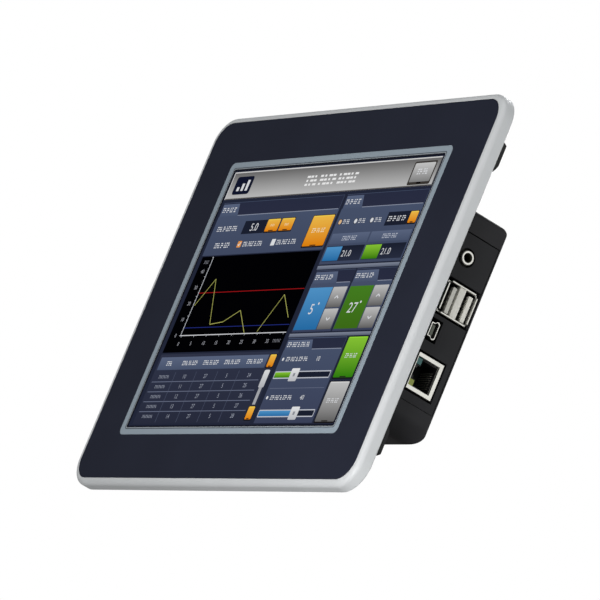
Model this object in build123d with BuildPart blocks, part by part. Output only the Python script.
from build123d import *
import os

os.makedirs("parts", exist_ok=True)

# Frame: X to the right seen from the front, Y backwards through the panel, Z up.
# The origin is the centre of the panel cut-out, in the plane where the bezel meets the panel.

# ---- driving dimensions, millimetres ------------------------------------------------------
BEZEL_W, BEZEL_H, BEZEL_T, BEZEL_R = 234.5, 185.0, 6.5, 13.0
BEZEL_EDGE_R = 2.4
GLASS_W, GLASS_H, GLASS_R = 228.3, 178.7, 10.0
FRONT_GAP = 0.12
OVERLAY_T, GLASS_T = 0.3, 1.8
WINDOW_W, WINDOW_H = 171.4, 128.7
OPENING_W, OPENING_H = 203.0, 160.0

LCD_W, LCD_H = 199.5, 149.5
LCD_FRONT, LCD_REAR = -4.1, 2.1

# the flange enters a panel cut-out of 224 x 174 mm
FLANGE_W, FLANGE_H, FLANGE_R, FLANGE_REAR = 223.0, 173.0, 8.0, 3.2
TIER_W, TIER_H, TIER_R, TIER_REAR = 204.5, 166.0, 6.0, 6.4
TIER_WALL, TIER_SIDE_WALL = 1.5, 1.8

HOUSE_X = 105.0
HOUSE_TOP, HOUSE_BOTTOM, HOUSE_REAR = 43.2, -59.4, 26.0
BAY_X, BAY_TOP = 80.0, -48.0
SIDE_WALL, REAR_WALL = 2.4, 1.5
INSIDE_REAR = HOUSE_REAR - REAR_WALL

CHASSIS_T = 1.0
CHASSIS_REAR = LCD_REAR + CHASSIS_T
BOARD_FRONT, BOARD_REAR = 5.9, 7.5
BOARD_X = (-74.0, 101.5)
BOARD_Z = (-45.4, 32.0)

PLATE_T = 1.2
PLATE_Z = (-45.0, 33.5)
PLATE_REAR = 25.0
PLATE_GAP_TOP, PLATE_GAP_LOW, PLATE_GAP_REAR = 0.5, 0.2, 0.35

JACK_Y, JACK_Z, JACK_R, JACK_BORE_R = 11.5, 22.9, 3.15, 1.8
USB_Y, USB_Z = (7.9, 24.1), (-4.0, 11.3)
MINI_Y, MINI_Z, MINI_HALF = (7.6, 11.7), -12.15, 4.05
RJ_Y, RJ_Z = (7.6, 21.1), (-39.7, -23.2)
PORT_GAP = 1.1
PORT_FACE = 105.15

CLAMP_X, CLAMP_Z = 108.4, 68.0
CLAMP_FRONT, CLAMP_REAR = 1.6, 5.0
CLAMP_HALF_W = 3.1
PIVOT_R, RUN_GAP = 1.5, 0.06

pieces = {}


# ---- small helpers ------------------------------------------------------------------------
def across(depth):
    """Plane parallel to the front at a depth, facing forwards; local axes X and Z."""
    return Plane.XZ.offset(-depth)


def beside(distance):
    """Plane parallel to the port side, facing +X; local axes Y and Z."""
    return Plane.YZ.offset(distance)


def level(height):
    """Horizontal plane, facing up; local axes X and Y."""
    return Plane.XY.offset(height)


def span_box(x, y, z, mode=Mode.ADD):
    """A box between three pairs of limits, in the part that is being built."""
    with Locations(((x[0] + x[1]) / 2, (y[0] + y[1]) / 2, (z[0] + z[1]) / 2)):
        Box(x[1] - x[0], y[1] - y[0], z[1] - z[0], mode=mode)


def slab(front, rear, width, height, radius, mode=Mode.ADD):
    """A plate parallel to the front with rounded corners, centred on the origin."""
    with BuildSketch(across(rear)) as profile:
        RectangleRounded(width, height, radius)
    extrude(profile.sketch, amount=rear - front, mode=mode)


def pin_y(places, radius, front, rear, mode=Mode.ADD):
    """Round pins or holes along Y at (x, z) places."""
    with BuildSketch(across(rear)) as profile:
        with Locations(*places):
            Circle(radius)
    extrude(profile.sketch, amount=rear - front, mode=mode)


def pan_screws(places, seat, shank, head_r=2.6, head_h=1.6, shank_r=1.2):
    """Pan-head screws along Y: heads behind the seat plane, shanks forwards of it."""
    with BuildPart() as screws:
        pin_y(places, head_r, seat, seat + head_h)
        rims = screws.edges().filter_by(GeomType.CIRCLE).group_by(Axis.Y)[-1]
        fillet(rims, 0.6)
        pin_y(places, shank_r, seat - shank, seat)
        for x, z in places:
            for wide, tall in ((0.7, 2.8), (2.8, 0.7)):
                span_box(
                    (x - wide / 2, x + wide / 2),
                    (seat + head_h - 0.8, seat + head_h + 0.1),
                    (z - tall / 2, z + tall / 2),
                    Mode.SUBTRACT,
                )
    return screws


def finish(name, builder):
    builder.part.label = name
    pieces[name] = builder


# ---- front bezel --------------------------------------------------------------------------
CHASSIS_SCREWS = [(x, side * 77.8) for side in (1, -1) for x in (-84.0, 0.0, 84.0)]
CLAMP_PLACES = [(sx * CLAMP_X, sz * CLAMP_Z) for sz in (1, -1) for sx in (1, -1)]
FLANGE_SCREWS = [(side * 108.4, z) for side in (1, -1) for z in (-36.0, 0.0, 36.0)]
LEDGE = -BEZEL_T + OVERLAY_T + GLASS_T
GASKET_W, GASKET_H = 229.4, 179.9
GROOVE_WIDTH, GROOVE_DEPTH = 2.4, 1.1

with BuildPart() as front_bezel:
    slab(-BEZEL_T, 0, BEZEL_W, BEZEL_H, BEZEL_R)
    fillet(front_bezel.edges().group_by(Axis.Y)[0], BEZEL_EDGE_R)
    chamfer(front_bezel.edges().group_by(Axis.Y)[-1], 0.3)
    slab(-BEZEL_T, LEDGE, GLASS_W + 2 * FRONT_GAP, GLASS_H + 2 * FRONT_GAP, GLASS_R, Mode.SUBTRACT)
    slab(LEDGE, 0, OPENING_W, OPENING_H, 3.0, Mode.SUBTRACT)
    with BuildSketch(across(0)):
        RectangleRounded(GASKET_W + GROOVE_WIDTH, GASKET_H + GROOVE_WIDTH, 11.0)
        RectangleRounded(GASKET_W - GROOVE_WIDTH, GASKET_H - GROOVE_WIDTH, 8.6, mode=Mode.SUBTRACT)
    extrude(amount=GROOVE_DEPTH, mode=Mode.SUBTRACT)
    # bosses that the chassis plate is screwed to, standing on the ledge beside the display
    for x, z in CHASSIS_SCREWS:
        inner, outer = sorted((abs(z) - 2.7, OPENING_H / 2 + 0.5))
        limits = (inner, outer) if z > 0 else (-outer, -inner)
        span_box((x - 3.2, x + 3.2), (LEDGE + 0.4, LCD_REAR), limits)
    pin_y(CHASSIS_SCREWS, 1.2, -2.6, LCD_REAR, Mode.SUBTRACT)
    pin_y(FLANGE_SCREWS, 1.25, -3.4, 0, Mode.SUBTRACT)
    pin_y(CLAMP_PLACES, 1.25, -3.6, 0, Mode.SUBTRACT)
finish("front_bezel", front_bezel)

# ---- overlay, touch glass, seals ----------------------------------------------------------
with BuildPart() as front_overlay:
    slab(-BEZEL_T, -BEZEL_T + OVERLAY_T, GLASS_W, GLASS_H, GLASS_R)
    slab(-BEZEL_T, -BEZEL_T + OVERLAY_T, WINDOW_W, WINDOW_H, 1.0, Mode.SUBTRACT)
finish("front_overlay", front_overlay)

with BuildPart() as touch_glass:
    slab(-BEZEL_T + OVERLAY_T, LEDGE, GLASS_W - 1.6, GLASS_H - 1.6, GLASS_R - 0.8)
finish("touch_glass", touch_glass)

with BuildPart() as dust_seal:
    slab(LEDGE, LCD_FRONT, 192.0, 144.0, 2.0)
    slab(LEDGE, LCD_FRONT, 176.0, 133.0, 1.0, Mode.SUBTRACT)
finish("dust_seal", dust_seal)

GASKET_BEAD = 2.2
with BuildPart() as panel_gasket:
    with BuildSketch(across(0.35)):
        RectangleRounded(GASKET_W + GASKET_BEAD, GASKET_H + GASKET_BEAD, 10.9)
        RectangleRounded(GASKET_W - GASKET_BEAD, GASKET_H - GASKET_BEAD, 8.7, mode=Mode.SUBTRACT)
    extrude(amount=0.35 + GROOVE_DEPTH)
    fillet(panel_gasket.edges().group_by(Axis.Y)[-1], 0.3)
finish("panel_gasket", panel_gasket)

# ---- display module -----------------------------------------------------------------------
SHEET = 0.4
CELL_REAR = LCD_FRONT + SHEET + 1.4
GUIDE_REAR = CELL_REAR + 2.2

with BuildPart() as lcd_front_frame:
    slab(LCD_FRONT, LCD_REAR - 0.6, LCD_W, LCD_H, 1.5)
    slab(LCD_FRONT + SHEET, LCD_REAR - 0.6, LCD_W - 2 * SHEET, LCD_H - 2 * SHEET, 1.1, Mode.SUBTRACT)
    slab(LCD_FRONT, LCD_FRONT + SHEET, 175.0, 132.4, 1.0, Mode.SUBTRACT)
finish("lcd_front_frame", lcd_front_frame)

with BuildPart() as lcd_cell:
    slab(LCD_FRONT + SHEET, LCD_FRONT + SHEET + 0.7, 182.0, 139.0, 0.5)
    span_box((-91, 91), (LCD_FRONT + SHEET + 0.7, CELL_REAR), (-72.5, 69.5))
finish("lcd_cell", lcd_cell)

with BuildPart() as lcd_light_guide:
    slab(CELL_REAR, GUIDE_REAR, 178.0, 135.0, 0.5)
    # the light bar stands along the guide's lower edge
    span_box((-86, 86), (CELL_REAR + 0.2, GUIDE_REAR), (-70.6, -67.5))
finish("lcd_light_guide", lcd_light_guide)

with BuildPart() as lcd_rear_tray:
    slab(GUIDE_REAR, LCD_REAR, 197.5, 147.5, 1.0)
    span_box((-97.5, -93), (LCD_FRONT + 1, GUIDE_REAR), (-72, 72))
    span_box((93, 97.5), (LCD_FRONT + 1, GUIDE_REAR), (-72, 72))
    for x in (-62, 0, 62):
        span_box((x - 22, x + 22), (LCD_REAR - 0.7, LCD_REAR), (-58, 58), Mode.SUBTRACT)
finish("lcd_rear_tray", lcd_rear_tray)

# ---- chassis plate ------------------------------------------------------------------------
STANDOFFS = [(-70.0, 27.0), (-70.0, -40.5), (8.0, 27.0), (8.0, -17.0), (80.0, 27.0)]
POSTS = [(-95.5, 36.6), (95.5, 36.6), (-91.0, -51.5), (91.0, -51.5)]
CABLE_X = 50.0

with BuildPart() as chassis_plate:
    slab(LCD_REAR, CHASSIS_REAR, 197.0, 160.8, 3.0)
    pin_y(CHASSIS_SCREWS, 1.4, LCD_REAR, CHASSIS_REAR, Mode.SUBTRACT)
    # windows for the display ribbon and the touch ribbon, and lightening slots above the board
    span_box((CABLE_X - 16, CABLE_X + 16), (LCD_REAR, CHASSIS_REAR), (-12, 6), Mode.SUBTRACT)
    span_box((-47, -19), (LCD_REAR, CHASSIS_REAR), (-78, -75), Mode.SUBTRACT)
    with BuildSketch(across(CHASSIS_REAR)):
        with GridLocations(40, 0, 4, 1):
            with Locations((0, 60)):
                SlotOverall(26, 8)
    extrude(amount=CHASSIS_T, mode=Mode.SUBTRACT)
finish("chassis_plate", chassis_plate)

with BuildPart() as hex_standoffs:
    # short ones carry the board, long ones carry the rear cover
    with BuildSketch(across(BOARD_FRONT)):
        with Locations(*STANDOFFS):
            RegularPolygon(3.0, 6)
    extrude(amount=BOARD_FRONT - CHASSIS_REAR)
    with BuildSketch(across(INSIDE_REAR)):
        with Locations(*POSTS):
            RegularPolygon(3.0, 6)
    extrude(amount=INSIDE_REAR - CHASSIS_REAR)
    pin_y(STANDOFFS, 1.3, CHASSIS_REAR, BOARD_FRONT, Mode.SUBTRACT)
    pin_y(POSTS, 1.25, INSIDE_REAR - 10.0, INSIDE_REAR, Mode.SUBTRACT)
finish("hex_standoffs", hex_standoffs)

# ---- main board and what stands on it -----------------------------------------------------
with BuildPart() as main_board:
    span_box(BOARD_X, (BOARD_FRONT, BOARD_REAR), BOARD_Z)
    fillet(main_board.edges().filter_by(Axis.Y), 1.5)
    pin_y(STANDOFFS, 1.6, BOARD_FRONT, BOARD_REAR, Mode.SUBTRACT)
finish("main_board", main_board)

CHIP_X, CHIP_Z = 32.0, 6.0
SINK_HALF, SINK_BASE, SINK_REAR = 15.0, BOARD_REAR + 1.6, 19.5
with BuildPart() as heatsink:
    x_span = (CHIP_X - SINK_HALF, CHIP_X + SINK_HALF)
    span_box(x_span, (SINK_BASE, SINK_BASE + 2), (CHIP_Z - SINK_HALF, CHIP_Z + SINK_HALF))
    with Locations((CHIP_X, (SINK_BASE + 1.9 + SINK_REAR) / 2, CHIP_Z)):
        with GridLocations(3.625, 0, 9, 1):
            Box(1.0, SINK_REAR - SINK_BASE - 1.9, 2 * SINK_HALF)
finish("heatsink", heatsink)

CHIP_HALF, CHIP_T, SMALL_CHIP_T = 9.0, 1.6, 1.2
# each small chip: x, z, width, height
SMALL_CHIPS = [(58, 12, 8, 14), (58, -4, 8, 14), (-2, 6, 12, 18), (-20, 24, 9, 9), (30, -22, 10, 10)]
with BuildPart() as board_chips:
    # the processor under the heatsink, then memory and the smaller chips
    chip_x = (CHIP_X - CHIP_HALF, CHIP_X + CHIP_HALF)
    span_box(chip_x, (BOARD_REAR, BOARD_REAR + CHIP_T), (CHIP_Z - CHIP_HALF, CHIP_Z + CHIP_HALF))
    for x, z, wide, tall in SMALL_CHIPS:
        with Locations((x, BOARD_REAR + SMALL_CHIP_T / 2, z)):
            Box(wide, SMALL_CHIP_T, tall)
finish("board_chips", board_chips)

INDUCTORS = [(-56, -16), (-44, -16)]
with BuildPart() as power_inductors:
    for x, z in INDUCTORS:
        with Locations((x, BOARD_REAR + 2, z)):
            Box(9, 4, 9)
    fillet(power_inductors.edges().filter_by(Axis.Y), 1.8)
finish("power_inductors", power_inductors)

CAPACITORS = [(-66, -2), (-56, -2), (-46, -2), (-66, 10)]
with BuildPart() as capacitors:
    pin_y(CAPACITORS, 4.0, BOARD_REAR, BOARD_REAR + 10.5)
    fillet(capacitors.edges().group_by(Axis.Y)[-1], 0.5)
finish("capacitors", capacitors)

CELL_X, CELL_Z, COIN_R = -40.0, 18.0, 10.0
with BuildPart() as battery_holder:
    pin_y([(CELL_X, CELL_Z)], COIN_R + 1.6, BOARD_REAR, BOARD_REAR + 4.4)
    pin_y([(CELL_X, CELL_Z)], COIN_R + 0.2, BOARD_REAR + 1.0, BOARD_REAR + 4.4, Mode.SUBTRACT)
    finger_y = (BOARD_REAR + 2, BOARD_REAR + 4.4)
    span_box((CELL_X - 3, CELL_X + 3), finger_y, (CELL_Z + 8, CELL_Z + 12), Mode.SUBTRACT)
finish("battery_holder", battery_holder)

with BuildPart() as coin_cell:
    pin_y([(CELL_X, CELL_Z)], COIN_R, BOARD_REAR + 1.0, BOARD_REAR + 4.2)
    fillet(coin_cell.edges().group_by(Axis.Y)[-1], 0.4)
finish("coin_cell", coin_cell)

with BuildPart() as buzzer:
    pin_y([(80.0, 14.0)], 6.0, BOARD_REAR, BOARD_REAR + 6.5)
    pin_y([(80.0, 14.0)], 1.0, BOARD_REAR + 4.5, BOARD_REAR + 6.5, Mode.SUBTRACT)
finish("buzzer", buzzer)

# ---- audio jack ---------------------------------------------------------------------------
JACK_REAR_X, JACK_FRONT_X = 89.0, 102.0
JACK_NOSE_R, JACK_NOSE_X = 2.1, 104.9
JACK_RING_X = (100.0, 105.8)
JACK_BORE_DEPTH = 13.9


def round_along_x(start, length, radius, mode=Mode.ADD):
    """A round bar or hole along X on the audio jack's axis."""
    with BuildSketch(beside(start)) as profile:
        with Locations((JACK_Y, JACK_Z)):
            Circle(radius)
    extrude(profile.sketch, amount=length, mode=mode)


with BuildPart() as audio_jack_body:
    span_box((JACK_REAR_X, JACK_FRONT_X), (BOARD_REAR, 15.2), (JACK_Z - 5, JACK_Z + 5))
    round_along_x(JACK_RING_X[0], JACK_FRONT_X - JACK_RING_X[0], JACK_R, Mode.SUBTRACT)
    round_along_x(JACK_RING_X[0], JACK_NOSE_X - JACK_RING_X[0], JACK_NOSE_R)
    round_along_x(JACK_NOSE_X, -JACK_BORE_DEPTH, JACK_BORE_R, Mode.SUBTRACT)
finish("audio_jack_body", audio_jack_body)

with BuildPart() as audio_jack_ring:
    round_along_x(JACK_RING_X[0], JACK_RING_X[1] - JACK_RING_X[0], JACK_R)
    round_along_x(JACK_RING_X[0], JACK_RING_X[1] - JACK_RING_X[0], JACK_NOSE_R + 0.05, Mode.SUBTRACT)
    mouth = audio_jack_ring.edges().filter_by(GeomType.CIRCLE).group_by(Axis.X)[-1]
    fillet(mouth.sort_by(SortBy.RADIUS)[-1], 0.4)
finish("audio_jack_ring", audio_jack_ring)

# ---- stacked USB sockets ------------------------------------------------------------------
USB_BACK, USB_WALL = 88.0, 0.4
USB_BODY_Y, USB_BODY_Z = (USB_Y[0], USB_Y[1] - 0.4), (USB_Z[0] + 0.4, USB_Z[1] - 0.4)
LIP_T, LIP_DEPTH, LIP_SHORT = 0.8, 1.2, 1.5
inner_y = (USB_BODY_Y[0] + USB_WALL, USB_BODY_Y[1] - USB_WALL)
inner_z = (USB_BODY_Z[0] + USB_WALL, USB_BODY_Z[1] - USB_WALL)
with BuildPart() as usb_shell:
    span_box((USB_BACK, PORT_FACE - LIP_DEPTH), USB_BODY_Y, USB_BODY_Z)
    # thick lips round the mouth stop short of each corner, which leaves four notches
    lip_x = (PORT_FACE - LIP_DEPTH, PORT_FACE)
    for z in ((USB_Z[0], USB_Z[0] + LIP_T), (USB_Z[1] - LIP_T, USB_Z[1])):
        span_box(lip_x, (USB_Y[0] + LIP_SHORT, USB_Y[1] - LIP_SHORT), z)
    for y in ((USB_Y[0], USB_Y[0] + LIP_T), (USB_Y[1] - LIP_T, USB_Y[1])):
        span_box(lip_x, y, (USB_Z[0] + LIP_SHORT, USB_Z[1] - LIP_SHORT))
    fillet(usb_shell.edges().group_by(Axis.X)[-1], 0.25)
    span_box((USB_BACK + USB_WALL, PORT_FACE - LIP_DEPTH), inner_y, inner_z, Mode.SUBTRACT)
finish("usb_shell", usb_shell)

TONGUE_Z = (-2.6, 9.3)
TONGUES_Y = ((11.6, 13.5), (20.4, 22.4))
DIVIDER_Y = (14.3, 17.5)
CONTACT_STEPS = (-3.5, -1.2, 1.2, 3.5)
with BuildPart() as usb_insulator:
    span_box((USB_BACK + USB_WALL, USB_BACK + 6.0), inner_y, inner_z)
    span_box((USB_BACK + 6.0, PORT_FACE - 0.35), DIVIDER_Y, inner_z)
    tongue_middle = (TONGUE_Z[0] + TONGUE_Z[1]) / 2
    for near, far in TONGUES_Y:
        span_box((USB_BACK + 6.0, PORT_FACE - 1.2), (near, far), TONGUE_Z)
        # four contact grooves on the face towards the board
        for step in CONTACT_STEPS:
            groove_z = (tongue_middle + step - 0.6, tongue_middle + step + 0.6)
            span_box((USB_BACK + 8.0, PORT_FACE - 2.2), (near, near + 0.3), groove_z, Mode.SUBTRACT)
finish("usb_insulator", usb_insulator)

# ---- mini USB -----------------------------------------------------------------------------
MINI_BACK = 96.0


def mini_outline(inset):
    """Stepped outline of the socket: narrow towards the board, wide towards the rear."""
    near, far = MINI_Y[0] + inset, MINI_Y[1] - inset
    wide, narrow = MINI_HALF - inset, MINI_HALF - 0.9 - inset
    step = MINI_Y[0] + 1.6
    half = [(near, narrow), (step, narrow), (step + 0.9, wide), (far - 0.7, wide), (far, wide - 0.7)]
    other = [(y, -z) for y, z in reversed(half)]
    with Locations((0, MINI_Z)):
        Polygon(*half, *other, align=None)


with BuildPart() as mini_usb_shell:
    with BuildSketch(beside(MINI_BACK)):
        mini_outline(0)
    extrude(amount=PORT_FACE - MINI_BACK)
    with BuildSketch(beside(MINI_BACK + 0.4)):
        mini_outline(0.4)
    extrude(amount=PORT_FACE - MINI_BACK - 0.4, mode=Mode.SUBTRACT)
finish("mini_usb_shell", mini_usb_shell)

with BuildPart() as mini_usb_tongue:
    tongue_z = (MINI_Z - 2.3, MINI_Z + 2.3)
    span_box((MINI_BACK + 0.4, MINI_BACK + 2.4), (MINI_Y[0] + 0.8, MINI_Y[1] - 0.8), tongue_z)
    span_box((MINI_BACK + 2.0, PORT_FACE - 0.5), (MINI_Y[0] + 1.1, MINI_Y[0] + 2.4), tongue_z)
finish("mini_usb_tongue", mini_usb_tongue)

# ---- network socket -----------------------------------------------------------------------
RJ_BACK, RJ_SHEET = 84.0, 0.3
RJ_CZ = (RJ_Z[0] + RJ_Z[1]) / 2
RJ_FRAME_DEPTH = 1.6
RJ_FRONT = PORT_FACE - RJ_FRAME_DEPTH
RJ_WINDOW_Y, RJ_WINDOW_HALF = (RJ_Y[0] + RJ_SHEET, 19.4), 6.6
RJ_CAVITY_Y, RJ_HALF, RJ_FLOOR = (11.3, 19.3), 5.9, 91.5
LATCH_STEPS = (((9.9, RJ_CAVITY_Y[0]), 3.0), ((8.7, 9.9), 1.7))
LAMP_X, LAMP_Y, LAMP_Z = (97.0, PORT_FACE - 1.2), (8.5, 11.0), (3.5, 6.4)
CONTACT_PITCH, CONTACT_HALF = 1.02, 0.28


def lamp_limits(side):
    """Height limits of the lamp above (1) or below (-1) the middle of the network socket."""
    return sorted((RJ_CZ + side * LAMP_Z[0], RJ_CZ + side * LAMP_Z[1]))


with BuildPart() as rj45_shell:
    # a sheet can that ends in a deep bright frame round the mouth
    span_box((RJ_BACK, PORT_FACE), RJ_Y, RJ_Z)
    inside_y = (RJ_Y[0] + RJ_SHEET, RJ_Y[1] - RJ_SHEET)
    inside_z = (RJ_Z[0] + RJ_SHEET, RJ_Z[1] - RJ_SHEET)
    span_box((RJ_BACK + RJ_SHEET, RJ_FRONT), inside_y, inside_z, Mode.SUBTRACT)
    window_z = (RJ_CZ - RJ_WINDOW_HALF, RJ_CZ + RJ_WINDOW_HALF)
    span_box((RJ_FRONT, PORT_FACE), RJ_WINDOW_Y, window_z, Mode.SUBTRACT)
finish("rj45_shell", rj45_shell)

with BuildPart() as rj45_insert:
    span_box((RJ_BACK + RJ_SHEET, RJ_FRONT), inside_y, inside_z)
    cavity_x = (RJ_FLOOR, RJ_FRONT)
    span_box(cavity_x, RJ_CAVITY_Y, (RJ_CZ - RJ_HALF, RJ_CZ + RJ_HALF), Mode.SUBTRACT)
    # latch way towards the board, in two steps
    for limits_y, half in LATCH_STEPS:
        span_box(cavity_x, limits_y, (RJ_CZ - half, RJ_CZ + half), Mode.SUBTRACT)
    for side in (1, -1):
        span_box((LAMP_X[0], RJ_FRONT), LAMP_Y, lamp_limits(side), Mode.SUBTRACT)
    # eight contacts lie in grooves on the far wall of the cavity
    groove_y = (RJ_CAVITY_Y[1], RJ_CAVITY_Y[1] + 0.5)
    for index in range(8):
        z = RJ_CZ + (index - 3.5) * CONTACT_PITCH
        span_box((RJ_FLOOR, RJ_FRONT - 1.0), groove_y, (z - CONTACT_HALF, z + CONTACT_HALF), Mode.SUBTRACT)
finish("rj45_insert", rj45_insert)

with BuildPart() as rj45_lamps:
    for side in (1, -1):
        span_box(LAMP_X, LAMP_Y, lamp_limits(side))
finish("rj45_lamps", rj45_lamps)

# ---- connectors in the bay under the board ------------------------------------------------
# power header and its pluggable terminal plug, three poles 5.08 mm apart
POLE, POWER_X = 5.08, -58.0
HEADER_Y, HEADER_Z = (BOARD_REAR, 16.8), (-49.0, -36.0)
PLUG_IN_Y, PLUG_IN_HALF = (8.7, 15.6), 7.7
POLES = [POWER_X + step * POLE for step in (-1, 0, 1)]
FIT = 0.06

with BuildPart() as power_header:
    span_box((POWER_X - 8.8, POWER_X + 8.8), HEADER_Y, HEADER_Z)
    way_y = (PLUG_IN_Y[0] - FIT, PLUG_IN_Y[1] + FIT)
    way_x = (POWER_X - PLUG_IN_HALF - FIT, POWER_X + PLUG_IN_HALF + FIT)
    span_box(way_x, way_y, (HEADER_Z[0], HEADER_Z[1] - 2.0), Mode.SUBTRACT)
    for x in POLES:
        span_box((x - 0.5, x + 0.5), (11.6, 12.6), (HEADER_Z[0] + 3.0, HEADER_Z[1] - 2.0))
finish("power_header", power_header)

PLUG_Y, PLUG_Z = (8.2, 18.6), (-58.6, -49.3)
PLUG_TOP = HEADER_Z[1] - 2.2
SCREW_R, SCREW_Z, SCREW_SEAT = 1.9, -53.4, 18.2
CAGE_REAR, CAGE_FRONT = 15.2, 11.2
CAGE_TRAVEL = 2.0
with BuildPart() as terminal_plug:
    span_box((POWER_X - 8.4, POWER_X + 8.4), PLUG_Y, PLUG_Z)
    span_box((POWER_X - PLUG_IN_HALF, POWER_X + PLUG_IN_HALF), PLUG_IN_Y, (PLUG_Z[1], PLUG_TOP))
    for x in POLES:
        # pin way, screw well, cage well and wire mouth of one pole
        span_box((x - 0.62, x + 0.62), (11.48, 12.72), (-47.0, PLUG_TOP), Mode.SUBTRACT)
        pin_y([(x, SCREW_Z)], SCREW_R + RUN_GAP, CAGE_REAR, PLUG_Y[1], Mode.SUBTRACT)
        well_y = (CAGE_FRONT - CAGE_TRAVEL - 0.4, CAGE_REAR + 0.1)
        span_box((x - 2.06, x + 2.06), well_y, (-56.2, -50.6), Mode.SUBTRACT)
        span_box((x - 1.5, x + 1.5), (11.9, 14.5), (PLUG_Z[0], -56.2), Mode.SUBTRACT)
finish("terminal_plug", terminal_plug)

for index, x in enumerate(POLES, start=1):
    with BuildPart() as terminal_screw:
        pin_y([(x, SCREW_Z)], SCREW_R, CAGE_REAR + 0.3, SCREW_SEAT)
        slot_z = (SCREW_Z - 1.95, SCREW_Z + 1.95)
        span_box((x - 0.3, x + 0.3), (SCREW_SEAT - 0.9, SCREW_SEAT), slot_z, Mode.SUBTRACT)
    finish(f"terminal_screw_{index}", terminal_screw)
    with BuildPart() as terminal_cage:
        span_box((x - 2.0, x + 2.0), (CAGE_FRONT, CAGE_REAR), (-56.0, -50.8))
        span_box((x - 1.4, x + 1.4), (CAGE_FRONT + 0.7, CAGE_REAR - 0.7), (-56.0, -50.8), Mode.SUBTRACT)
    finish(f"terminal_cage_{index}", terminal_cage)

# reset switch: a body on the board edge and a sprung cap that shows in the bay wall
RESET_X, RESET_Y = -44.0, 10.6
CAP_R, CAP_LOW, CAP_HIGH = 1.5, -48.6, -43.3
with BuildPart() as reset_switch:
    span_box((RESET_X - 3, RESET_X + 3), (BOARD_REAR, BOARD_REAR + 6), (-45.2, -40.0))
    with BuildSketch(level(-45.2)):
        with Locations((RESET_X, RESET_Y)):
            Circle(CAP_R + RUN_GAP)
    extrude(amount=2.6, mode=Mode.SUBTRACT)
finish("reset_switch", reset_switch)

with BuildPart() as reset_cap:
    with BuildSketch(level(CAP_LOW)):
        with Locations((RESET_X, RESET_Y)):
            Circle(CAP_R)
    extrude(amount=CAP_HIGH - CAP_LOW)
    fillet(reset_cap.edges().group_by(Axis.Z)[0], 0.4)
finish("reset_cap", reset_cap)

# mode switch: a two-way slide switch that faces the bay
DIP_X, DIP_Y = -32.0, 11.0
DIP_PITCH, DIP_TRAVEL = 2.54, 1.2
with BuildPart() as mode_switch:
    span_box((DIP_X - 3.6, DIP_X + 3.6), (BOARD_REAR, BOARD_REAR + 7), (-47.4, -40.6))
    for side in (-0.5, 0.5):
        x = DIP_X + side * DIP_PITCH
        way_y = (DIP_Y - DIP_TRAVEL / 2 - 0.56, DIP_Y + DIP_TRAVEL / 2 + 0.56)
        span_box((x - 0.56, x + 0.56), way_y, (-47.4, -45.6), Mode.SUBTRACT)
finish("mode_switch", mode_switch)

for index, side in enumerate((-0.5, 0.5), start=1):
    x = DIP_X + side * DIP_PITCH
    with BuildPart() as mode_slider:
        near = DIP_Y - DIP_TRAVEL / 2
        span_box((x - 0.5, x + 0.5), (near - 0.5, near + 0.5), (-48.2, -45.7))
    finish(f"mode_slider_{index}", mode_slider)

# memory card and its socket
CARD_X, CARD_Y, CARD_W = -10.0, (8.6, 10.7), 24.0
CARD_LOW, CARD_HIGH = -50.0, -18.0
with BuildPart() as card_socket:
    span_box((CARD_X - 14, CARD_X + 14), (BOARD_REAR, 12.0), (-45.4, -16.5))
    way_x = (CARD_X - CARD_W / 2 - 0.15, CARD_X + CARD_W / 2 + 0.15)
    span_box(way_x, (CARD_Y[0] - 0.1, CARD_Y[1] + 0.1), (-45.4, CARD_HIGH + 0.5), Mode.SUBTRACT)
finish("card_socket", card_socket)

with BuildPart() as memory_card:
    span_box((CARD_X - CARD_W / 2, CARD_X + CARD_W / 2), CARD_Y, (CARD_LOW, CARD_HIGH))
    chamfer(memory_card.edges().filter_by(Axis.Y).sort_by(Axis.Z)[-1], 3.5)
    nail_z = (CARD_LOW + 0.8, CARD_LOW + 1.4)
    span_box((CARD_X - 9, CARD_X + 9), (CARD_Y[1] - 0.3, CARD_Y[1]), nail_z, Mode.SUBTRACT)
finish("memory_card", memory_card)

# two nine-way serial sockets with their jack nuts
SERIAL_X = (24.0, 58.0)
SERIAL_Y = 13.9
NUT_PITCH = 25.0
FLANGE_Z = (-48.9, -48.1)


def serial_outline(narrow, wide, tall):
    """D-shaped outline in the horizontal plane, its wide side away from the board."""
    half = tall / 2
    Polygon((-wide / 2, half), (wide / 2, half), (narrow / 2, -half), (-narrow / 2, -half), align=None)
    fillet(serial_sketch.vertices(), 1.6)


with BuildPart() as serial_shells:
    for x in SERIAL_X:
        with BuildSketch(level(FLANGE_Z[0])):
            with Locations((x, SERIAL_Y)):
                RectangleRounded(30.8, 12.4, 1.5)
        extrude(amount=FLANGE_Z[1] - FLANGE_Z[0])
    serial_holes = [(x + side * NUT_PITCH / 2, SERIAL_Y) for x in SERIAL_X for side in (-1, 1)]
    with BuildSketch(level(FLANGE_Z[0])):
        with Locations(*serial_holes):
            Circle(1.65)
    extrude(amount=FLANGE_Z[1] - FLANGE_Z[0], mode=Mode.SUBTRACT)
    for x in SERIAL_X:
        with BuildSketch(Plane.XY.offset(FLANGE_Z[0]).move(Location((x, SERIAL_Y, 0)))) as serial_sketch:
            serial_outline(15.6, 17.4, 8.6)
        extrude(amount=-5.6)
    for x in SERIAL_X:
        with BuildSketch(Plane.XY.offset(FLANGE_Z[1]).move(Location((x, SERIAL_Y, 0)))) as serial_sketch:
            serial_outline(14.6, 16.4, 7.6)
        extrude(amount=-6.4 - (FLANGE_Z[1] - FLANGE_Z[0]), mode=Mode.SUBTRACT)
finish("serial_shells", serial_shells)

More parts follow.
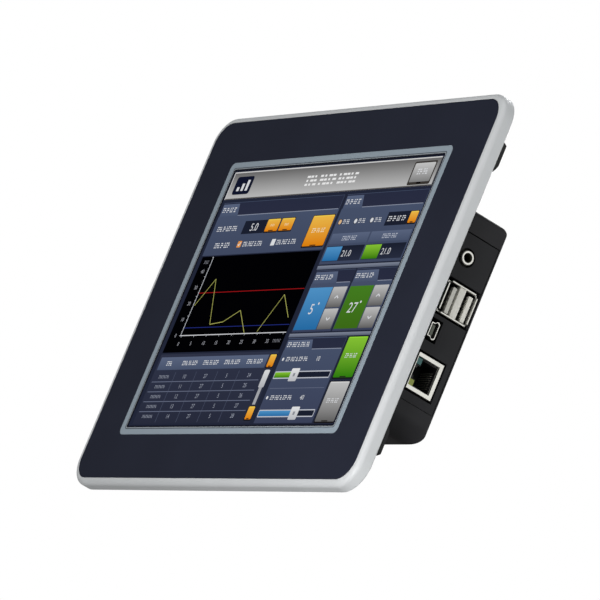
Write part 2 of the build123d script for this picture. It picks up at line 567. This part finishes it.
with BuildPart() as serial_inserts:
    for x in SERIAL_X:
        span_box((x - 9.5, x + 9.5), (BOARD_REAR, SERIAL_Y + 5.4), (FLANGE_Z[1], -36.0))
    for x in SERIAL_X:
        with BuildSketch(Plane.XY.offset(FLANGE_Z[1]).move(Location((x, SERIAL_Y, 0)))) as serial_sketch:
            serial_outline(14.3, 16.1, 7.3)
        extrude(amount=-2.0)
    pin_places = [(x + (i - 2) * 2.77, SERIAL_Y + 1.42) for x in SERIAL_X for i in range(5)]
    pin_places += [(x + (i - 1.5) * 2.77, SERIAL_Y - 1.42) for x in SERIAL_X for i in range(4)]
    with BuildSketch(level(FLANGE_Z[1] - 2.0)):
        with Locations(*pin_places):
            Circle(0.5)
    extrude(amount=-3.4)
finish("serial_inserts", serial_inserts)

with BuildPart() as jack_nuts:
    with BuildSketch(level(FLANGE_Z[0])):
        with Locations(*serial_holes):
            RegularPolygon(2.75, 6)
    extrude(amount=-5.0)
    with BuildSketch(level(FLANGE_Z[0])):
        with Locations(*serial_holes):
            Circle(1.5)
    extrude(amount=5.5)
    with BuildSketch(level(FLANGE_Z[0] - 5.0)):
        with Locations(*serial_holes):
            Circle(1.2)
    extrude(amount=6.0, mode=Mode.SUBTRACT)
finish("jack_nuts", jack_nuts)

# ---- ribbons inside -----------------------------------------------------------------------
with BuildPart() as touch_ribbon:
    with BuildSketch(Plane.YZ.offset(-45.0)):
        with BuildLine():
            FilletPolyline((LEDGE + 0.1, -76.6), (4.0, -76.6), (4.0, -42.0), radius=1.0)
        trace(line_width=0.2)
    extrude(amount=24.0)
    span_box((-46, -20), (4.1, BOARD_FRONT), (-44.8, -41.2))
finish("touch_ribbon", touch_ribbon)

with BuildPart() as display_ribbon:
    span_box((CABLE_X - 12, CABLE_X + 12), (LCD_REAR, 3.6), (-11, -7))
    with BuildSketch(Plane.YZ.offset(CABLE_X - 11.0)):
        with BuildLine():
            FilletPolyline((3.3, -7.2), (3.3, 2.0), (4.6, 2.0), (4.6, 8.2), radius=0.6)
        trace(line_width=0.2)
    extrude(amount=22.0)
    span_box((CABLE_X - 12, CABLE_X + 12), (4.4, BOARD_FRONT), (8, 11.5))
finish("display_ribbon", display_ribbon)

# ---- base shell behind the bezel ----------------------------------------------------------
COVER_FIT = 0.1
POCKET_X, POCKET_Z = (102.3, 113.0), (57.9, 74.5)
CORNER_LOW, CORNER_TOP, CORNER_BAY = 9.0, 2.2, 2.0
REAR_TOP_R, REAR_LOW_R, REAR_SIDE_R = 4.6, 5.0, 1.0


def cover_outline(inset, top_r, low_r, bay_r):
    """Outline of the deep box seen from the rear: two feet with the connector bay between."""
    x, top, low = HOUSE_X - inset, HOUSE_TOP - inset, HOUSE_BOTTOM + inset
    bay_x, bay_z = BAY_X + inset, BAY_TOP + inset
    right = [(x, top), (x, low), (bay_x, low), (bay_x, bay_z)]
    left = [(-px, pz) for px, pz in reversed(right)]
    Polygon(*right, *left, align=None)
    corners = outline_sketch.vertices()
    fillet(corners.group_by(Axis.Y)[-1], top_r)
    low_corners = outline_sketch.vertices().group_by(Axis.Y)[0].sort_by(Axis.X)
    fillet([low_corners[0], low_corners[-1]], low_r)
    fillet([low_corners[1], low_corners[2]], bay_r)


with BuildPart() as base_shell:
    slab(0, FLANGE_REAR, FLANGE_W, FLANGE_H, FLANGE_R)
    slab(FLANGE_REAR, TIER_REAR, TIER_W, TIER_H, TIER_R)
    fillet(base_shell.edges().group_by(Axis.Y)[-1], 1.0)
    cavity_w, cavity_h = TIER_W - 2 * TIER_SIDE_WALL, TIER_H - 2 * TIER_SIDE_WALL
    slab(0, TIER_REAR - TIER_WALL, cavity_w, cavity_h, TIER_R - TIER_SIDE_WALL, Mode.SUBTRACT)
    # the deep cover stands on the flange in this footprint
    with BuildSketch(across(TIER_REAR)) as outline_sketch:
        cover_outline(-COVER_FIT, CORNER_TOP, CORNER_LOW, CORNER_BAY)
    extrude(amount=TIER_REAR - FLANGE_REAR, mode=Mode.SUBTRACT)
    for sx in (1, -1):
        for sz in (1, -1):
            x_span = sorted((sx * POCKET_X[0], sx * POCKET_X[1]))
            z_span = sorted((sz * POCKET_Z[0], sz * POCKET_Z[1]))
            span_box(x_span, (CLAMP_FRONT - 0.1, TIER_REAR), z_span, Mode.SUBTRACT)
    pin_y(CLAMP_PLACES, PIVOT_R, 0, CLAMP_FRONT, Mode.SUBTRACT)
    pin_y(FLANGE_SCREWS, 1.5, 0, FLANGE_REAR, Mode.SUBTRACT)
    pin_y(FLANGE_SCREWS, 2.8, FLANGE_REAR - 1.8, FLANGE_REAR, Mode.SUBTRACT)
finish("base_shell", base_shell)

# ---- rear cover ---------------------------------------------------------------------------
TOP_SLOTS, REAR_SLOTS, SLOT_PITCH, SLOT_W = 25, 11, 5.0, 2.0
# openings round the ports: depth limits, then height limits; the first is a notch in the plate's rear edge
PORT_OPENINGS = (
    ((USB_Y[0] - PORT_GAP, USB_Y[1] + 0.6), (USB_Z[0] - PORT_GAP, USB_Z[1] + PORT_GAP)),
    (
        (MINI_Y[0] - PORT_GAP, MINI_Y[1] + PORT_GAP),
        (MINI_Z - MINI_HALF - PORT_GAP, MINI_Z + MINI_HALF + PORT_GAP),
    ),
    ((RJ_Y[0] - PORT_GAP, RJ_Y[1] + PORT_GAP), (RJ_Z[0] - PORT_GAP, RJ_Z[1] + PORT_GAP)),
)
# openings in the bay wall: width limits, then depth limits
BAY_OPENINGS = (
    ((POWER_X - 9.2, POWER_X + 9.2), (7.2, 17.2)),
    ((DIP_X - 3.9, DIP_X + 3.9), (7.2, 14.8)),
    ((CARD_X - 12.6, CARD_X + 12.6), (8.0, 11.3)),
    *(((x - 9.8, x + 9.8), (7.2, SERIAL_Y + 5.7)) for x in SERIAL_X),
)


def open_ports(outer, inner):
    """Cut the port openings through a wall between two distances from the middle."""
    for limits_y, limits_z in PORT_OPENINGS:
        span_box((inner, outer), limits_y, limits_z, Mode.SUBTRACT)
    round_along_x(outer, inner - outer, JACK_R + 1.0, Mode.SUBTRACT)


with BuildPart() as rear_cover:
    with BuildSketch(across(HOUSE_REAR)) as outline_sketch:
        cover_outline(0, CORNER_TOP, CORNER_LOW, CORNER_BAY)
    extrude(amount=HOUSE_REAR - FLANGE_REAR)
    # the side view rounds the rear edge above and below
    with BuildSketch(beside(-HOUSE_X)) as side_sketch:
        front_line = [(FLANGE_REAR, HOUSE_BOTTOM), (FLANGE_REAR, HOUSE_TOP)]
        rear_line = [(HOUSE_REAR, HOUSE_TOP), (HOUSE_REAR, HOUSE_BOTTOM)]
        Polygon(*front_line, *rear_line, align=None)
        fillet(side_sketch.vertices().group_by(Axis.X)[-1].sort_by(Axis.Y)[-1], REAR_TOP_R)
        fillet(side_sketch.vertices().group_by(Axis.X)[-1].sort_by(Axis.Y)[0], REAR_LOW_R)
    extrude(amount=2 * HOUSE_X, mode=Mode.INTERSECT)
    # the plan view eases the upright rear edges
    with BuildSketch(level(HOUSE_BOTTOM)) as plan_sketch:
        front_line = [(-HOUSE_X, FLANGE_REAR), (HOUSE_X, FLANGE_REAR)]
        rear_line = [(HOUSE_X, HOUSE_REAR), (-HOUSE_X, HOUSE_REAR)]
        Polygon(*front_line, *rear_line, align=None)
        fillet(plan_sketch.vertices().group_by(Axis.Y)[-1], REAR_SIDE_R)
    extrude(amount=HOUSE_TOP - HOUSE_BOTTOM, mode=Mode.INTERSECT)
    with BuildSketch(across(INSIDE_REAR)) as outline_sketch:
        cover_outline(SIDE_WALL, 1.5, CORNER_LOW - SIDE_WALL, 1.5)
    extrude(amount=INSIDE_REAR - FLANGE_REAR, mode=Mode.SUBTRACT)
    # shallow seat for the port plate, and the openings for the ports behind it
    span_box((HOUSE_X - PLATE_T, HOUSE_X + 0.1), (FLANGE_REAR, PLATE_REAR), PLATE_Z, Mode.SUBTRACT)
    open_ports(HOUSE_X, HOUSE_X - SIDE_WALL - 0.1)
    # way for the touch ribbon under the bay wall
    bay_wall = (BAY_TOP - 0.1, BAY_TOP + SIDE_WALL + 0.1)
    span_box((-47, -19), (FLANGE_REAR, 4.8), bay_wall, Mode.SUBTRACT)
    for limits_x, limits_y in BAY_OPENINGS:
        span_box(limits_x, limits_y, bay_wall, Mode.SUBTRACT)
    with BuildSketch(level(BAY_TOP - 0.1)):
        with Locations((RESET_X, RESET_Y)):
            Circle(1.9)
        with Locations(*serial_holes):
            Circle(1.7)
    extrude(amount=SIDE_WALL + 0.2, mode=Mode.SUBTRACT)
    # cooling slots in the top and in the rear wall
    with BuildSketch(level(HOUSE_TOP)):
        with Locations((0, 13.5)):
            with GridLocations(SLOT_PITCH, 0, TOP_SLOTS, 1):
                SlotOverall(11.0, SLOT_W, rotation=90)
    extrude(amount=-SIDE_WALL - 0.1, mode=Mode.SUBTRACT)
    with BuildSketch(across(HOUSE_REAR)):
        with Locations((-50, -32), (50, -32)):
            with GridLocations(SLOT_PITCH, 0, REAR_SLOTS, 1):
                SlotOverall(15.0, SLOT_W, rotation=90)
    extrude(amount=REAR_WALL + 0.1, mode=Mode.SUBTRACT)
    pin_y(POSTS, 1.5, INSIDE_REAR, HOUSE_REAR, Mode.SUBTRACT)
finish("rear_cover", rear_cover)

with BuildPart() as port_plate:
    plate_y = (FLANGE_REAR + 0.1, PLATE_REAR - PLATE_GAP_REAR)
    plate_z = (PLATE_Z[0] + PLATE_GAP_LOW, PLATE_Z[1] - PLATE_GAP_TOP)
    span_box((HOUSE_X - PLATE_T, HOUSE_X), plate_y, plate_z)
    open_ports(HOUSE_X, HOUSE_X - PLATE_T)
finish("port_plate", port_plate)

with BuildPart() as rating_plate:
    with BuildSketch(across(HOUSE_REAR + 0.2)):
        with Locations((0, 8)):
            RectangleRounded(72, 34, 2)
    extrude(amount=0.2)
finish("rating_plate", rating_plate)

# ---- fasteners ----------------------------------------------------------------------------
with BuildPart() as pan_head_screws:
    # the same screw holds the board and the chassis plate
    add(pan_screws(STANDOFFS, BOARD_REAR, 3.4, head_r=2.3, head_h=1.4).part)
    add(pan_screws(CHASSIS_SCREWS, CHASSIS_REAR, 3.4, head_r=2.3, head_h=1.4).part)
finish("pan_head_screws", pan_head_screws)
cover_screws = pan_screws(POSTS, HOUSE_REAR, 6.0)
finish("cover_screws", cover_screws)

with BuildPart() as flange_screws:
    for x, z in FLANGE_SCREWS:
        with Locations(Location((x, FLANGE_REAR - 0.9, z), (90, 0, 0))):
            Cone(1.2, 2.7, 1.5, rotation=(180, 0, 0))
    pin_y(FLANGE_SCREWS, 2.7, FLANGE_REAR - 0.2, FLANGE_REAR - 0.1)
    pin_y(FLANGE_SCREWS, 1.2, -2.8, FLANGE_REAR - 1.5)
finish("flange_screws", flange_screws)

# ---- swing-out clamps ---------------------------------------------------------------------
CLAMP_INNER, CLAMP_OUTER = 9.2, 6.0
INNER_RAMP, END_EASE = 4.0, 1.6
PIVOT_HEAD_R, PIVOT_HEAD_T = 2.4, 1.0

for index, (x, z) in enumerate(CLAMP_PLACES, start=1):
    towards = 1 if z > 0 else -1
    with BuildPart() as clamp_tab:
        # seen from the side the tab has a blunt outer end and a longer ramp inwards
        with BuildSketch(beside(x - CLAMP_HALF_W)):
            ends = (z + towards * CLAMP_OUTER, z - towards * CLAMP_INNER)
            Polygon(
                (CLAMP_FRONT, ends[0]),
                (CLAMP_REAR - END_EASE, ends[0]),
                (CLAMP_REAR, ends[0] - towards * END_EASE),
                (CLAMP_REAR, ends[1] + towards * INNER_RAMP),
                (CLAMP_REAR - END_EASE, ends[1]),
                (CLAMP_FRONT, ends[1]),
                align=None,
            )
        extrude(amount=2 * CLAMP_HALF_W)
        fillet(clamp_tab.edges().filter_by(Axis.Y), 2.4)
        pin_y([(x, z)], PIVOT_R + RUN_GAP, CLAMP_FRONT, CLAMP_REAR, Mode.SUBTRACT)
        head_seat = CLAMP_REAR - PIVOT_HEAD_T - RUN_GAP
        pin_y([(x, z)], PIVOT_HEAD_R + 0.1, head_seat, CLAMP_REAR, Mode.SUBTRACT)
    finish(f"clamp_tab_{index}", clamp_tab)

with BuildPart() as clamp_pivots:
    pin_y(CLAMP_PLACES, PIVOT_R, 0, CLAMP_REAR - PIVOT_HEAD_T)
    pin_y(CLAMP_PLACES, PIVOT_HEAD_R, CLAMP_REAR - PIVOT_HEAD_T, CLAMP_REAR)
    pin_y(CLAMP_PLACES, 1.2, -3.4, 0)
    for x, z in CLAMP_PLACES:
        span_box((x - 2.5, x + 2.5), (CLAMP_REAR - 0.6, CLAMP_REAR), (z - 0.35, z + 0.35), Mode.SUBTRACT)
finish("clamp_pivots", clamp_pivots)

for name, builder in pieces.items():
    export_step(builder.part, f"parts/{name}.step")
print(len(pieces), "pieces")
